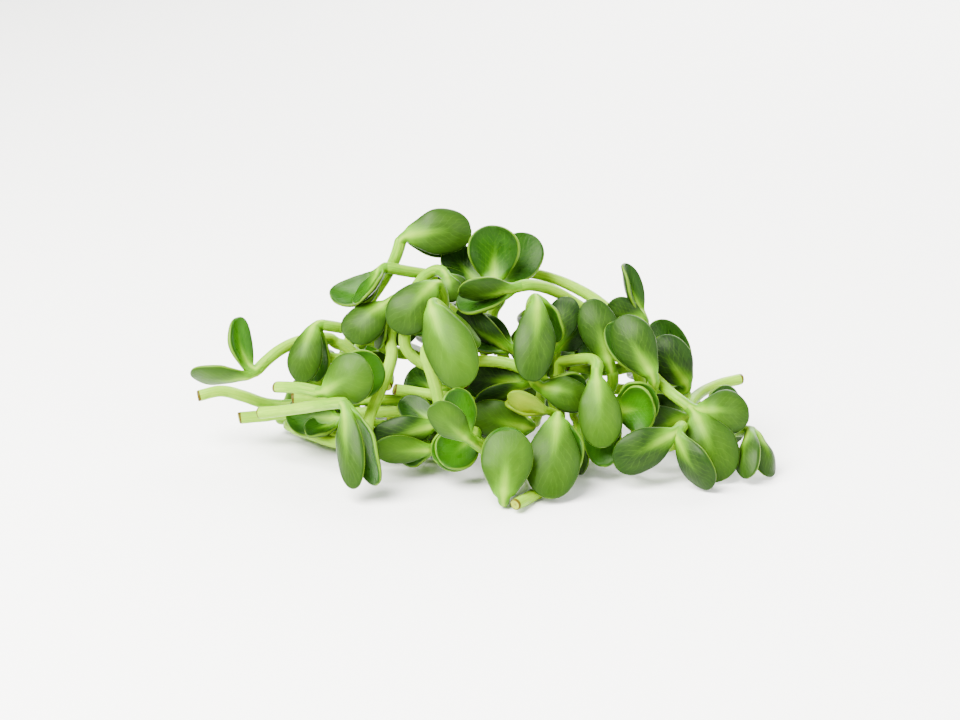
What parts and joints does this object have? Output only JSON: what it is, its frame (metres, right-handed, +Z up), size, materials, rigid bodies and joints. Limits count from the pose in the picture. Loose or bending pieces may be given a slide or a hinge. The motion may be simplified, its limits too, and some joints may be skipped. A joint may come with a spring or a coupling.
{
  "type": "heap of sunflower sprouts",
  "caption": "Loose heap of cut sunflower sprouts lying on a table: long round stems, each with a pair of thick oval seed leaves, hanging over one another.",
  "frame": {"origin": "middle of the heap's footprint, on the table it lies on", "axes": "+Z up, X along the heap, with the bundle of cut stem ends at -X, and the near side of the picture at -Y"},
  "size_m": [0.1734, 0.0992, 0.0694],
  "materials": {
    "sprout_green": "waxy green seed leaves, paler on their outer faces, on pale yellow-green stems",
    "young_green": "bright yellow-green of a pair that grew without light"
  },
  "bodies": {
    "root": {"behind_right": "sprout_green", "crest": "sprout_green", "crossing_left": "sprout_green", "crown_left": "sprout_green", "cup_right": "sprout_green", "cut_far": "sprout_green", "cut_long": "sprout_green", "cut_low": "sprout_green", "dark_far_left": "sprout_green", "dark_left": "sprout_green", "dark_right": "sprout_green", "edge_right": "sprout_green", "far_left": "sprout_green", "far_right": "sprout_green", "far_side_1": "sprout_green", "far_side_10": "sprout_green", "far_side_2": "sprout_green", "far_side_3": "sprout_green", "far_side_4": "sprout_green", "far_side_5": "sprout_green", "far_side_6": "sprout_green", "far_side_7": "sprout_green", "far_side_8": "sprout_green", "far_side_9": "sprout_green", "foot_right": "sprout_green", "front_cup": "sprout_green", "front_drop": "sprout_green", "front_face": "sprout_green", "front_left": "sprout_green", "front_pair": "sprout_green", "front_right": "sprout_green", "hook_left": "sprout_green", "leaning_right": "sprout_green", "low_left": "sprout_green", "low_right": "sprout_green", "middle_bright": "sprout_green", "middle_dark": "sprout_green", "middle_flat": "sprout_green", "middle_left": "sprout_green", "middle_right": "sprout_green", "pale_hook": "sprout_green", "palm_left": "sprout_green", "shade_left": "sprout_green", "shade_middle": "sprout_green", "shoulder_left": "sprout_green", "sliver_right": "sprout_green", "small_top": "sprout_green", "spire_right": "sprout_green", "top_middle": "sprout_green", "top_right": "sprout_green", "under_right": "sprout_green", "upper_right": "sprout_green", "upright_right": "sprout_green", "young_yellow": "young_green"}
  },
  "joints": []
}
